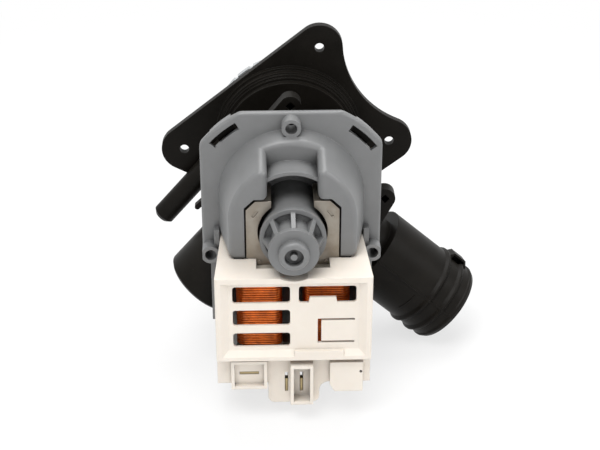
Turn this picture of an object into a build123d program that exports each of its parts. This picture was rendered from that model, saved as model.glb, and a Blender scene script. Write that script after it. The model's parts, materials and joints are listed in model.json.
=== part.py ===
from build123d import *
import os
from math import asin, atan2, ceil, cos, degrees, hypot, pi, radians, sin

# Washer drain pump with its lint filter chamber. Millimetres.
# X points right, Y runs along the motor axis from the nose to the filter cap, Z points up.
# The origin lies on the motor axis, halfway along the cylindrical land of the nose.

# Clearances that the pieces share
overrun = 1.0
running_gap = 0.05
fit_gap = 0.1
play_gap = 0.35
bend_gap_min = 0.4

# Nose and rotor can
nose_land = 2.2
nose_round = 1.0
nose_radius = 4.9
nose_recess_radius = 3.05
nose_recess_depth = 2.4
nose_pin_radius = 1.1
nose_pin_dimple = 0.4
disc_depth = 32.2
disc_thickness = 1.7
disc_radius = 8.2
can_neck_radius = 7.0
can_ring_depth = 21.4
can_ring_width = 1.6
can_ring_radius = 10.85
can_radius = 10.1
can_wall = 1.2
can_rib_count = 8
can_ring_rim = 1.5
can_ring_hollow = 0.6
can_rib_thickness = 1.5
can_floor = 1.4
face_y = disc_depth + nose_land / 2

# Motor flange
tube_circle_radius = 31.6
tube_low_angle = 30.0
top_tube_drop = 1.1
tube_top_margin = 2.8
tube_side_margin = 2.83
tube_radius = 3.2
flange_corner_margin = 6.6
flange_corner_blend = 4.0
flange_thickness = 1.8
flange_land_depth = 3.2
flange_land_radius = 29.4
flange_edge_round = 0.9
slot_rim = 2.3
slot_width = 2.6
slot_angles = (46.6, 129.6)
slot_half_angle = 9.0
tube_bore_radius = 1.95
tube_length = 4.5
clip_height = 6.4
clip_width = 1.9
clip_depth = 3.0
clip_half_span = 25.25
clip_middle_height = -10.3
shield_half_width = 27.6
shield_bottom = -44.0
shield_thickness = 1.6
tongue_half_width = 21.5
tongue_bottom = -55.5

# Shroud round the stator
shroud_radius = 24.4
shroud_front_radius = 20.8
shroud_depth = 19.0
shroud_centre_height = 4.2
shroud_bottom = -9.5
shroud_edge_round = 1.6
shroud_leg_round = 2.5
notch_half_width = 8.2
notch_depth = 7.2
notch_tube_radius = 16.5
notch_tube_wall = 1.3
notch_tube_depth = 16.0
notch_round = 2.0
notch_corner_round = 1.6
window_half_width = 15.7
window_shoulder_height = 9.3
window_top_half_width = 12.6
window_top_height = 12.3

# Bayonet between the motor and the pump housing
hook_reach = 1.0
hook_lip = 1.2
rim_lobe_half_angle = 7.0
lobe_play_angle = 1.0

# Wet side of the motor
spigot_radius = 21.6
spigot_wall = 2.4
spigot_length = 5.0
seal_ring_radius = 0.95
seal_groove_depth = 1.6
carrier_flange_radius = 14.0
carrier_flange_thickness = 2.0
carrier_plug_length = 5.2
carrier_boss_radius = 5.4
carrier_boss_length = 1.5
carrier_seal_ring_radius = 0.7

# Shaft, bushes and rotor
shaft_radius = 2.0
shaft_tail = 1.4
shaft_front_reach = 13.4
bush_radius = 4.2
bush_length = 5.0
bush_grommet_wall = 0.9
magnet_radius = 8.4
magnet_length = 16.0
magnet_front_depth = 3.6
rotor_core_radius = 4.6
rotor_collar_radius = 6.2
rotor_collar_length = 0.9
washer_radius = 3.6
washer_thickness = 0.6

# Impeller and its lost motion drive
impeller_radius = 16.5
impeller_disc_thickness = 1.6
impeller_front_reach = 14.6
impeller_back_reach = 7.0
impeller_hub_radius = 7.8
impeller_hub_wall = 1.6
impeller_blade_count = 4
impeller_blade_thickness = 1.6
impeller_blade_sweep = 8.0
hub_cap_thickness = 1.4
dog_radius = 5.7
dog_hub_radius = 3.1
dog_angle = 36.0
damper_thickness = 1.0

# Stator
core_front_depth = 18.2
core_stack = 13.0
core_half_width = 15.2
core_leg_width = 8.0
core_top = 11.3
core_corner_cut = 3.1
core_inner_top_half_width = 6.9
core_bore_radius = 11.4
core_yoke_top = -42.6
core_yoke_height = 7.4
core_rivet_radius = 0.7
core_rivet_stand = 0.5
core_rivet_height = -10.8
core_rivet_inset = 4.2
lock_mark = (12.2, 6.8)
lock_mark_length = 2.9
lock_mark_width = 0.9
lock_mark_depth = 0.5
lock_mark_angle = 53.0

# Bobbins and windings
bobbin_wall = 0.9
bobbin_flange = 1.0
bobbin_flange_proud = 0.8
bobbin_top = -12.0
winding_depth = 2.1
wire_diameter = 0.7
turn_count = 23
winding_corner_radius = 3.2
samples_per_turn = 16

# Coil cover
cover_top = -9.5
cover_bottom = -40.7
cover_front_depth = 32.0
cover_front_half_width = 25.6
cover_back_half_width = 23.8
cover_wall = 1.5
cover_recess_half_width = 21.4
cover_recess_top = -12.4
cover_recess_bottom = -37.2
cover_recess_slope = 2.1
cover_recess_side_slope = 2.3
cover_recess_top_slope = 1.0
cover_recess_depth = 1.5
cover_panel = 1.0
cover_edge_round = 0.8
cover_scoop_radius = 10.5
cover_lip_depth = 18.4
cover_notch_depth = 25.0
cover_notch_half_width = 12.0
cover_opening_half_width = 19.3
vent_left = -19.9
vent_right = -1.2
vent_bottoms = (-19.4, -27.9, -36.0)
vent_heights = (6.2, 5.9, 5.3)
vent_round = 1.0
side_vent_left = 1.6
side_vent_right = 20.3
tab_left = 4.9
tab_right = 14.0
tab_height = 2.0
tab_slope = 0.3
snap_left = 7.8
snap_right = 19.9
snap_top = -25.5
snap_bottom = -34.8
snap_side_gap = 1.2
snap_arm_gap = 0.7
pad_left = 0.2
pad_right = 16.4

# Terminal block under the cover
block_top = -41.0
block_front_depth = 28.4
block_half_width = 25.5
wing_inner = 20.9
wing_bottom = -51.6
wing_back_depth = 5.0
socket_wall = 1.1
socket_left = -20.9
socket_right = -8.9
socket_top = -42.0
socket_bottom = -52.9
socket_stand = 2.0
centre_half_width = 8.6
centre_bottom = -59.7
centre_round = 2.4
box_left = -1.2
box_right = 6.4
box_top = -42.7
box_bottom = -58.0
box_stand = 4.2
guard_left = 12.0
guard_right = 23.0
guard_top = -42.8
guard_bottom = -54.3
guard_slope = 1.6
guard_stand = 2.0
guard_hole = (22.3, -46.5)
guard_hole_radius = 0.5
guard_hole_depth = 3.0
arch_radius = 3.4
tab_pitch = 5.0
tab_first = -2.45
tab_width = 4.8
tab_thickness = 0.8
tab_slot_width = 1.1
tab_slot_height = 7.6
tab_slot_bottom = -55.2
tab_tip_depth = 28.1
tab_tip_length = 1.2
tab_length = 6.6
tab_stem_height = 1.1
earth_tab_width = 6.3
earth_tab_height = -47.7
earth_slot_width = 6.5
earth_tab_length = 8.8

# Pump housing, volute
volute_radius = 25.5
volute_wall = 3.4
volute_back = 16.0
partition_thickness = 2.0
eye_radius = 8.6
rim_radius = 29.0
rim_thickness = 2.6
sump_radius = 20.0
sump_wall = 2.5

# Pump housing, filter chamber and ear plate
chamber_height = 10.0
chamber_radius = 22.6
chamber_wall = 2.4
chamber_face = 29.0
chamber_face_wall = 2.0
ring_starts = (31.4, 32.4, 33.3, 35.3)
ring_radii = (23.6, 24.3, 24.9, 25.8)
plate_front = 37.0
plate_thickness = 3.0
ear_radius = 8.1
ear_hole_radius = 1.65
top_ear = (10.8, 42.4)
left_ear = (-37.2, 4.5)
right_ear = (35.9, 6.7)
lower_lobe = (4.0, -10.0)
lower_lobe_radius = 14.0
plate_waist_radius = 32.8
collar_radius = 23.6
collar_length = 4.0

# Lugs on the volute
lug_front = 9.3
lug_length = 5.0
lug_radius = 3.6
lug_leg_radius = 3.0
lug_hole_side = 2.3
lug_hole_depth = 4.0
top_lug = (0.0, 32.4)
top_lug_foot = (-8.0, 23.6)
top_lug_root = (0.0, 23.6)
right_lug = (32.4, -2.4)
right_lug_foot = (22.0, -4.0)
right_lug_heel = (27.0, -14.0)
left_tab = (-32.0, -4.6)
left_tab_foot = (-25.0, 2.0)
left_tab_radius = 0.9
left_tab_length = 2.4

# Inlet port, lower right
inlet_y = 25.0
inlet_point = (30.9, -31.0)
inlet_fall = 41.0
inlet_radius = 15.1
inlet_wall = 2.4
inlet_back = 2.4
inlet_length = 35.5
inlet_throat_radius = 11.0
inlet_throat_back = 24.0
inlet_throat_bore = 8.0
bead_rise = 0.9
bead_width = 2.6
bead_starts = (21.0, 27.2)
bead_slope = 1.0
inlet_rim_rise = 0.4
inlet_rim_width = 3.0
inlet_rim_round = 2.0
eyelet_start = 22.4
eyelet_length = 8.6
eyelet_rise = 2.0
eyelet_width = 5.5
eyelet_wall = 0.8
eyelet_end_wall = 1.8
eyelet_turn = -12.0
eyelet_sink = 0.6

# Outlet port, lower left
outlet_y = 17.5
outlet_point = (-22.2, -28.2)
outlet_fall = 49.0
outlet_radius = 13.6
outlet_wall = 2.2
outlet_back = 7.0
outlet_length = 15.0
outlet_round = 0.9
outlet_throat_y = 11.9
outlet_throat_radius = 8.2
outlet_throat_back = 24.0
outlet_throat_bore = 4.8
outlet_throat_bore_y = 11.2

# Drain nipple, upper left
nipple_y = 33.0
nipple_point = (-34.2, -6.6)
nipple_fall = 49.0
nipple_radius = 3.95
nipple_bore = 2.5
nipple_back = 23.0
nipple_length = 18.2
nipple_round = 1.3

# Filter cap and strainer
cap_gap = 0.3
cap_radius = 26.0
cap_rim_thickness = 3.0
cap_rim_round = 0.9
cap_spigot_length = 6.2
cap_spigot_wall = 2.0
cap_grip_length = 38.0
cap_grip_width = 8.0
cap_grip_height = 11.0
cap_grip_round = 3.6
cap_hub_radius = 5.4
cap_dish_radius = 17.0
cap_dish_depth = 1.2
cap_notch_count = 24
cap_notch_radius = 0.9
cap_seal_ring_radius = 0.8
strainer_radius = 19.4
strainer_ring_thickness = 1.6
strainer_ring_width = 3.0
strainer_length = 5.4
strainer_bar_count = 16
strainer_bar_radius = 0.7
strainer_finger_radius = 6.6
strainer_finger_length = 10.0
strainer_finger_bars = 8
strainer_pin_radius = 3.0

# Lengths worked out from the values above
flange_corner_radius = tube_circle_radius + flange_corner_margin
flange_half_width = tube_circle_radius * cos(radians(tube_low_angle)) + tube_side_margin
flange_top = tube_circle_radius + tube_top_margin
flange_bottom = -tube_circle_radius * sin(radians(tube_low_angle)) - tube_radius
slot_outer_radius = flange_corner_radius - slot_rim
slot_inner_radius = slot_outer_radius - slot_width
flange_back = face_y + flange_land_depth
can_bore_radius = can_radius - can_wall
volute_bore = volute_radius - volute_wall
chamber_bore = chamber_radius - chamber_wall
coil_x = core_half_width - core_leg_width / 2
core_middle_y = face_y - core_front_depth + core_stack / 2
coil_half_x = core_leg_width / 2 + bobbin_wall + winding_depth
coil_half_y = core_stack / 2 + bobbin_wall + winding_depth
bobbin_bottom = core_yoke_top + fit_gap
coil_top = bobbin_top - bobbin_flange
coil_bottom = bobbin_bottom + bobbin_flange
socket_front_depth = block_front_depth + socket_stand
box_front_depth = block_front_depth + box_stand
guard_front_depth = block_front_depth + guard_stand
plate_y = face_y + plate_front
cap_y = plate_y + plate_thickness + collar_length + cap_gap


def cross_plane(y):
    """Plane across the motor axis: its own x is X, its own y is Z."""
    return Plane(origin=(0, y, 0), x_dir=(1, 0, 0), z_dir=(0, -1, 0))


def slab(face, start, end):
    """Pull a face drawn in X and Z along Y from start to end."""
    return extrude(cross_plane(start) * face, amount=end - start, dir=(0, 1, 0))


def rod(radius, start, end, x=0.0, z=0.0):
    """Round bar along Y."""
    return slab(Pos(x, z) * Circle(radius), start, end)


def ring(outer, inner, start, end, x=0.0, z=0.0):
    """Round tube along Y."""
    return slab(Pos(x, z) * (Circle(outer) - Circle(inner)), start, end)


def block(x_range, y_range, z_range):
    """Box from its three ranges."""
    (x0, x1), (y0, y1), (z0, z1) = x_range, y_range, z_range
    return Pos((x0 + x1) / 2, (y0 + y1) / 2, (z0 + z1) / 2) * Box(x1 - x0, y1 - y0, z1 - z0)


def panel(x_range, z_range):
    """Rectangle drawn in X and Z from its ranges."""
    (x0, x1), (z0, z1) = x_range, z_range
    return Pos((x0 + x1) / 2, (z0 + z1) / 2) * Rectangle(x1 - x0, z1 - z0)


def belt(first, first_radius, second, second_radius):
    """Two circles with the straight sides that touch both, drawn in X and Z."""
    run = (second[0] - first[0], second[1] - first[1])
    heading = atan2(run[1], run[0])
    lean = asin((first_radius - second_radius) / hypot(*run))
    corners = []
    for centre, radius, side in (
        (first, first_radius, 1),
        (second, second_radius, 1),
        (second, second_radius, -1),
        (first, first_radius, -1),
    ):
        turn = heading + side * (pi / 2 - lean)
        corners.append((centre[0] + radius * cos(turn), centre[1] + radius * sin(turn)))
    sides = make_face(Polyline(*corners, close=True))
    return Pos(*first) * Circle(first_radius) + sides + Pos(*second) * Circle(second_radius)


def sector(inner, outer, middle_angle, half_angle):
    """Part of a ring between two angles, drawn in X and Z."""
    reach = outer / cos(radians(half_angle))
    turns = [radians(middle_angle + side * half_angle) for side in (-1, 1)]
    corners = [(0, 0)] + [(reach * cos(turn), reach * sin(turn)) for turn in turns]
    return (Circle(outer) - Circle(inner)) & make_face(Polyline(*corners, close=True))


def port_plane(point, y, fall, heading):
    """Plane square to a port: its own z runs out along the port, its own x runs along Y."""
    out = (heading * cos(radians(fall)), 0, -sin(radians(fall)))
    return Plane(origin=(point[0], y, point[1]), x_dir=(0, 1, 0), z_dir=out)


def turned(points, plane):
    """Revolve an outline of (distance along the axis, radius) points round a plane's own z."""
    outline = make_face(Polyline(*[(radius, 0, along) for along, radius in points], close=True))
    return plane * revolve(outline, Axis.Z)


def torus_ring(centre_radius, tube, y, z=0.0):
    """Round seal ring about a line along Y."""
    plane = Plane(origin=(0, y, z), x_dir=(1, 0, 0), z_dir=(0, 1, 0))
    return plane * Torus(centre_radius, tube)


def spokes(count, start=0.0):
    """Equally spaced angles in degrees."""
    return [start + turn * 360 / count for turn in range(count)]


# Motor housing


def flange_outline():
    """Flange face: a disc trimmed flat at the top, the sides and the bottom."""
    trimmed = Circle(flange_corner_radius) & panel(
        (-flange_half_width, flange_half_width), (flange_bottom, flange_top)
    )
    upper = [corner for corner in trimmed.vertices() if corner.Y > 0]
    return fillet(upper, flange_corner_blend)


def flange_plate():
    """Plate with its front edge rounded and its two curved slots."""
    plate = slab(flange_outline(), face_y, face_y + flange_thickness)
    plate = fillet(plate.edges().group_by(Axis.Y)[0], flange_edge_round)
    for angle in slot_angles:
        slot = sector(slot_inner_radius, slot_outer_radius, angle, slot_half_angle)
        plate -= slab(slot, face_y - overrun, face_y + flange_thickness + overrun)
    return plate


def horseshoe(radius, bottom):
    """Arch about the shroud's centre with straight legs."""
    arch = Pos(0, shroud_centre_height) * Circle(radius)
    legs = panel((-radius, radius), (bottom, shroud_centre_height))
    whole = (arch + legs) & panel((-radius, radius), (bottom, shroud_centre_height + radius))
    return fillet(whole.vertices().group_by(Axis.Y)[0], shroud_leg_round)


def notch_edges(body):
    """Edges where the notch leaves the shroud's front, sides and back wall."""
    front, back = face_y - shroud_depth, face_y - notch_depth
    found = []
    for edge in body.edges():
        box = edge.bounding_box()
        inside = max(abs(box.min.X), abs(box.max.X)) < notch_half_width + running_gap
        upright = box.max.Y < front + running_gap and box.size.X < running_gap
        above = box.max.Y < back + running_gap and box.min.Z > shroud_centre_height + notch_tube_radius
        if inside and (upright or above):
            found.append(edge)
    return found


def stator_opening():
    """Hole through the shroud for the stator's poles and the can, drawn in X and Z."""
    low = shroud_bottom - overrun
    window = make_face(
        Polyline(
            (-window_half_width, low),
            (-window_half_width, window_shoulder_height),
            (-window_top_half_width, window_top_height),
            (window_top_half_width, window_top_height),
            (window_half_width, window_shoulder_height),
            (window_half_width, low),
            close=True,
        )
    )
    channel = panel((-notch_half_width, notch_half_width), (window_shoulder_height, flange_top))
    bore = Pos(0, shroud_centre_height) * Circle(notch_tube_radius - notch_tube_wall)
    opening = window + (bore & channel)
    corners = [
        corner
        for corner in opening.vertices()
        if abs(abs(corner.X) - notch_half_width) < running_gap and corner.Y < window_top_height + running_gap
    ]
    return fillet(corners, notch_corner_round)


def shroud():
    """Arch that covers the stator's upper corners, notched at the top round a short tube."""
    front, back = face_y - shroud_depth, face_y - notch_depth
    base = cross_plane(face_y) * horseshoe(shroud_radius, shroud_bottom)
    tip = cross_plane(front) * horseshoe(shroud_front_radius, shroud_bottom)
    body = loft([base, tip])
    body -= block(
        (-notch_half_width, notch_half_width),
        (front - overrun, back),
        (window_top_height - overrun, flange_top),
    )
    body = fillet(notch_edges(body), notch_round)
    body = fillet(body.edges().group_by(Axis.Y)[0], shroud_edge_round)
    reach = notch_half_width + overrun
    tube = Circle(notch_tube_radius) - Circle(notch_tube_radius - notch_tube_wall)
    tube = (Pos(0, shroud_centre_height) * tube) & panel((-reach, reach), (window_top_height, flange_top))
    body += slab(tube, face_y - notch_tube_depth, face_y)
    return body - slab(stator_opening(), front - overrun, face_y)


def tube_places():
    """Centres of the three flange tubes, in X and Z."""
    side = tube_circle_radius * cos(radians(tube_low_angle))
    low = -tube_circle_radius * sin(radians(tube_low_angle))
    return [(0, tube_circle_radius - top_tube_drop), (side, low), (-side, low)]


def rotor_can():
    """Cup that the rotor runs in, with its ribbed end and nose."""
    ring_front = face_y - can_ring_depth - can_ring_width
    disc_front = face_y - disc_depth
    disc_back = disc_front + disc_thickness
    nose_front = disc_front - nose_land - nose_round
    shell = rod(can_radius, face_y - can_ring_depth, face_y)
    shell += rod(can_ring_radius, ring_front, ring_front + can_ring_width)
    ring_floor = ring_front + can_ring_hollow
    shell -= ring(can_ring_radius - can_ring_rim, can_neck_radius, ring_front - overrun, ring_floor)
    shell += rod(can_neck_radius, disc_front, face_y - can_ring_depth)
    shell += rod(disc_radius, disc_front, disc_back)
    rib = make_face(
        Polyline(
            (can_neck_radius - can_rib_thickness, 0, disc_back),
            (disc_radius - can_rib_thickness / 2, 0, disc_back),
            (can_ring_radius - can_rib_thickness / 2, 0, ring_floor),
            (can_neck_radius - can_rib_thickness, 0, ring_floor),
            close=True,
        )
    )
    rib = extrude(rib, amount=can_rib_thickness / 2, both=True)
    along = Plane(origin=(0, 0, 0), x_dir=(0, 0, 1), z_dir=(0, 1, 0))
    for turn in spokes(can_rib_count):
        shell += along * Rot(0, 0, turn) * rib
    nose = rod(nose_radius, nose_front, disc_front)
    shell += fillet(nose.edges().group_by(Axis.Y)[0], nose_round)
    pocket = ring(nose_recess_radius, nose_pin_radius, nose_front - overrun, nose_front + nose_recess_depth)
    pocket += rod(nose_pin_radius, nose_front - overrun, nose_front + nose_pin_dimple)
    return shell - pocket


def wet_bore():
    """Hollow of the can: the magnet's bore, then the narrower seat of the rear bush."""
    floor = face_y - can_ring_depth - can_ring_width + can_floor
    seat = rear_bush_start()
    bore = rod(can_bore_radius, floor, flange_back + overrun)
    bore += rod(bush_radius + bush_grommet_wall, seat, floor)
    return bore + rod(shaft_radius + play_gap, seat - shaft_tail - play_gap, seat)


def hooks():
    """Two hooks behind the flange that hold the pump housing's lobes."""
    back = flange_back + rim_thickness + fit_gap
    plate_back = face_y + flange_thickness
    pieces = []
    for middle in slot_angles:
        arm = sector(slot_outer_radius, slot_outer_radius + hook_reach, middle, rim_lobe_half_angle)
        lip = sector(slot_inner_radius, slot_outer_radius + hook_reach, middle, rim_lobe_half_angle)
        pieces.append(slab(arm, plate_back, back + hook_lip))
        pieces.append(slab(lip, back, back + hook_lip))
    return pieces


def make_motor_housing():
    """Grey moulding: flange, shroud, screw tubes, rotor can, spigot and splash shield."""
    body = flange_plate() + rod(flange_land_radius, face_y, flange_back)
    body += shroud()
    shield = panel((-shield_half_width, shield_half_width), (shield_bottom, flange_bottom + flange_edge_round))
    shield += panel((-tongue_half_width, tongue_half_width), (tongue_bottom, shield_bottom))
    body += slab(shield, face_y, face_y + shield_thickness)
    tubes = tube_places()
    limit = block(
        (-flange_half_width, flange_half_width),
        (face_y - tube_length, face_y + flange_edge_round),
        (-flange_corner_radius, flange_corner_radius),
    )
    for x, z in tubes:
        body += rod(tube_radius, face_y - tube_length, face_y + flange_edge_round, x, z) & limit
    for side in (-1, 1):
        middle = side * clip_half_span
        body += block(
            (middle - clip_width / 2, middle + clip_width / 2),
            (face_y - clip_depth, face_y),
            (clip_middle_height - clip_height / 2, clip_middle_height + clip_height / 2),
        )
    body += rotor_can()
    spigot_end = flange_back + spigot_length
    groove_middle = flange_back + rim_thickness + seal_ring_radius
    body += ring(spigot_radius, spigot_radius - spigot_wall, flange_back, spigot_end)
    body -= ring(
        spigot_radius + overrun,
        spigot_radius - seal_groove_depth,
        groove_middle - seal_ring_radius,
        groove_middle + seal_ring_radius,
    )
    for piece in hooks():
        body += piece
    for x, z in tubes:
        body -= rod(tube_bore_radius, face_y - tube_length - overrun, flange_back + overrun, x, z)
    return body - wet_bore()


# Wet side pieces


def make_flange_seal():
    """Seal ring in the spigot's groove."""
    middle = flange_back + rim_thickness + seal_ring_radius
    return torus_ring(spigot_radius - seal_groove_depth + seal_ring_radius, seal_ring_radius, middle)


def washer_starts():
    """Y of the near face of each thrust washer, rear one first."""
    start, end = magnet_span()
    return start - rotor_collar_length - washer_thickness, end + rotor_collar_length


def rear_bush_start():
    """Y where the rear bush starts."""
    return washer_starts()[0] - play_gap - bush_length


def front_bush_start():
    """Y where the front bush starts."""
    return washer_starts()[1] + washer_thickness + play_gap


def make_bearing_carrier():
    """Plate that closes the can and holds the front bush."""
    plug_start = flange_back - carrier_plug_length
    plate_end = flange_back + carrier_flange_thickness
    body = rod(can_bore_radius - fit_gap, plug_start, flange_back)
    body += rod(carrier_flange_radius, flange_back, plate_end)
    body += rod(carrier_boss_radius, plate_end, plate_end + carrier_boss_length - fit_gap)
    groove = flange_back - carrier_plug_length / 2
    body -= ring(
        can_bore_radius + overrun,
        can_bore_radius - fit_gap - carrier_seal_ring_radius,
        groove - carrier_seal_ring_radius,
        groove + carrier_seal_ring_radius,
    )
    start = front_bush_start()
    body -= rod(bush_radius, plug_start - overrun, start + bush_length)
    return body - rod(shaft_radius + play_gap, plug_start - overrun, plate_end + carrier_boss_length)


def make_carrier_seal():
    """Seal ring between the bearing carrier and the can."""
    groove = flange_back - carrier_plug_length / 2
    tube = (carrier_seal_ring_radius + fit_gap) / 2
    return torus_ring(can_bore_radius - tube, tube, groove)


def make_bush(start):
    """Plain bearing bush."""
    return ring(bush_radius, shaft_radius + running_gap, start, start + bush_length)


def make_bush_grommet():
    """Rubber sleeve that holds the rear bush in the can's neck."""
    start = rear_bush_start()
    return ring(bush_radius + bush_grommet_wall, bush_radius, start, start + bush_length)


# Rotor


def magnet_span():
    """Where the magnet starts and ends along Y."""
    end = face_y - magnet_front_depth
    return end - magnet_length, end


def make_rotor_shaft():
    """Steel shaft with rounded ends."""
    shaft = rod(shaft_radius, rear_bush_start() - shaft_tail, face_y + shaft_front_reach)
    return chamfer(shaft.edges().filter_by(GeomType.CIRCLE), shaft_radius / 4)


def make_rotor_core():
    """Plastic sleeve that joins the magnet to the shaft."""
    start, end = magnet_span()
    body = ring(rotor_core_radius, shaft_radius, start, end)
    for collar in ((start - rotor_collar_length, start), (end, end + rotor_collar_length)):
        body += ring(rotor_collar_radius, shaft_radius, *collar)
    return body


def make_rotor_magnet():
    """Ring magnet."""
    start, end = magnet_span()
    magnet = ring(magnet_radius, rotor_core_radius, start, end)
    circles = magnet.edges().filter_by(GeomType.CIRCLE)
    rims = [edge for edge in circles if edge.radius > rotor_collar_radius]
    return chamfer(rims, rotor_collar_length / 2)


def make_thrust_washers():
    """Two washers on the shaft, one at each end of the rotor."""
    return [
        ring(washer_radius, shaft_radius, start, start + washer_thickness)
        for start in washer_starts()
    ]


def drive_span():
    """Where the drive's hollow in the impeller hub starts and ends along Y."""
    start = face_y + impeller_back_reach + impeller_disc_thickness
    end = face_y + impeller_front_reach - hub_cap_thickness
    return start, end


def make_drive_dog():
    """Driving tooth fixed on the shaft, with its ring."""
    start, end = drive_span()
    near, far = start + play_gap, end - play_gap
    face = Circle(dog_hub_radius) + sector(dog_hub_radius / 2, dog_radius, 90, dog_angle / 2)
    return slab(face - Circle(shaft_radius), near, far)


# Impeller


def make_impeller():
    """Open impeller with curved blades and the driven tooth in its hub."""
    start = face_y + impeller_back_reach
    hollow_start, hollow_end = drive_span()
    end = face_y + impeller_front_reach
    body = rod(impeller_radius, start, hollow_start)
    body += rod(impeller_hub_radius, start, end)
    inner, outer = impeller_hub_radius - impeller_hub_wall / 2, impeller_radius
    reach = outer - inner
    middle = (inner + reach / 2, impeller_blade_sweep / 2)
    spine = ThreePointArc((inner, 0), middle, (outer * cos(radians(impeller_blade_sweep)), impeller_blade_sweep))
    blade = trace(spine, impeller_blade_thickness) & Circle(outer)
    for turn in spokes(impeller_blade_count):
        body += slab(Rot(0, 0, turn) * blade, hollow_start, end)
    bore = impeller_hub_radius - impeller_hub_wall
    body -= rod(bore, hollow_start, end + overrun)
    tooth = sector(dog_hub_radius + play_gap, bore + impeller_hub_wall / 2, -90, dog_angle / 2)
    body += slab(tooth, hollow_start, hollow_end)
    return body - rod(shaft_radius + running_gap, start - overrun, end)


def make_hub_cap():
    """Disc that closes the impeller's hub."""
    start = drive_span()[1]
    end = face_y + impeller_front_reach
    return ring(impeller_hub_radius - impeller_hub_wall, shaft_radius + running_gap, start, end)


def make_drive_damper():
    """Rubber pads on both sides of the driven tooth."""
    start, end = drive_span()
    inner = dog_hub_radius + play_gap
    outer = impeller_hub_radius - impeller_hub_wall - fit_gap
    pad = degrees(damper_thickness / outer) / 2
    pads = []
    for side in (-1, 1):
        middle = -90 + side * (dog_angle / 2 + pad)
        pads.append(slab(sector(inner, outer, middle, pad), start, end))
    return pads


# Stator


def make_stator_core():
    """Stack of U shaped laminations, with the pole bore, rivets and interlock marks."""
    y0, y1 = face_y - core_front_depth, face_y - core_front_depth + core_stack
    bottom = core_yoke_top - core_yoke_height
    face = panel((-core_half_width, core_half_width), (bottom, core_yoke_top))
    for side in (-1, 1):
        outer, inner = side * core_half_width, side * (core_half_width - core_leg_width)
        head = side * core_inner_top_half_width
        face += make_face(
            Polyline(
                (outer, core_yoke_top),
                (outer, core_top - core_corner_cut),
                (outer - side * core_corner_cut, core_top),
                (head, core_top),
                (head, -core_bore_radius),
                (inner, bobbin_top + fit_gap),
                (inner, core_yoke_top),
                close=True,
            )
        )
    stack = slab(face - Circle(core_bore_radius), y0, y1)
    for x in (-core_half_width + core_rivet_inset, core_half_width - core_rivet_inset):
        for z in (core_rivet_height, core_yoke_top - core_yoke_height / 2):
            stack += rod(core_rivet_radius, y0 - core_rivet_stand, y0, x, z)
    for side in (-1, 1):
        place = Pos(side * lock_mark[0], lock_mark[1]) * Rot(0, 0, -side * lock_mark_angle)
        mark = place * SlotOverall(lock_mark_length, lock_mark_width)
        stack -= slab(mark, y0 - overrun, y0 + lock_mark_depth)
    return stack


def bobbin_face(grow):
    """Cross-section of a spool in X and Y, about its own leg."""
    width = core_leg_width + 2 * (bobbin_wall + grow)
    depth = core_stack + 2 * (bobbin_wall + grow)
    return RectangleRounded(width, depth, winding_corner_radius)


def make_bobbin(x):
    """Spool round one leg of the core."""
    hole = Rectangle(core_leg_width, core_stack)
    barrel = RectangleRounded(
        core_leg_width + 2 * bobbin_wall, core_stack + 2 * bobbin_wall, bobbin_wall
    )
    place = Pos(x, core_middle_y, 0)
    spool = extrude(place * Pos(0, 0, bobbin_bottom) * barrel, amount=bobbin_top - bobbin_bottom)
    cheek = bobbin_face(winding_depth + bobbin_flange_proud) - hole
    for z in (bobbin_bottom, bobbin_top - bobbin_flange):
        spool += extrude(place * Pos(0, 0, z) * cheek, amount=bobbin_flange)
    bore = extrude(
        place * Pos(0, 0, bobbin_bottom - overrun) * hole,
        amount=bobbin_top - bobbin_bottom + 2 * overrun,
    )
    return spool - bore


def make_winding(x):
    """Inner layers of one coil."""
    barrel = RectangleRounded(
        core_leg_width + 2 * bobbin_wall, core_stack + 2 * bobbin_wall, bobbin_wall
    )
    face = bobbin_face(winding_depth) - barrel
    return extrude(Pos(x, core_middle_y, coil_bottom) * face, amount=coil_top - coil_bottom)


def biarc(start, start_run, end, end_run):
    """Two arcs that leave start along start_run and reach end along end_run."""
    chord = end - start
    along = start_run + end_run
    spread = 2 * (1 - start_run.dot(end_run))
    pull = chord.dot(along)
    reach = (-pull + (pull * pull + spread * chord.dot(chord)) ** 0.5) / spread
    first, last = start + start_run * reach, end - end_run * reach
    joint = (first + last) / 2
    across = (last - first).normalized()
    return [TangentArc(start, joint, tangent=start_run), TangentArc(joint, end, tangent=across)]


def turn_stations(x):
    """Points and headings of the outer layer, four straights and four corners a turn."""
    off = wire_diameter / 2 + fit_gap / 2
    half_x, half_y = coil_half_x + off, coil_half_y + off
    bend = winding_corner_radius + off
    straight_x, straight_y = half_x - bend, half_y - bend
    round_length = 4 * (straight_x + straight_y) + 2 * pi * bend
    pitch = (coil_top - coil_bottom - 2 * fit_gap - wire_diameter) / turn_count
    corner = pi * bend / 2
    stations, travelled = [], 0.0
    low = coil_bottom + fit_gap + wire_diameter / 2
    corners = (
        (straight_x, -straight_y, -90, 2 * straight_x),
        (straight_x, straight_y, 0, 2 * straight_y),
        (-straight_x, straight_y, 90, 2 * straight_x),
        (-straight_x, -straight_y, 180, 2 * straight_y),
    )
    for turn in range(turn_count):
        for centre_x, centre_y, angle, run in corners:
            for step, length in ((0, run), (90, corner)):
                travelled += length
                heading = radians(angle + step)
                point = (
                    x + centre_x + bend * cos(heading),
                    core_middle_y + centre_y + bend * sin(heading),
                    low + pitch * travelled / round_length,
                )
                way = Vector(-sin(heading), cos(heading), pitch / round_length).normalized()
                stations.append((Vector(*point), way))
    return stations, pitch


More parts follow.
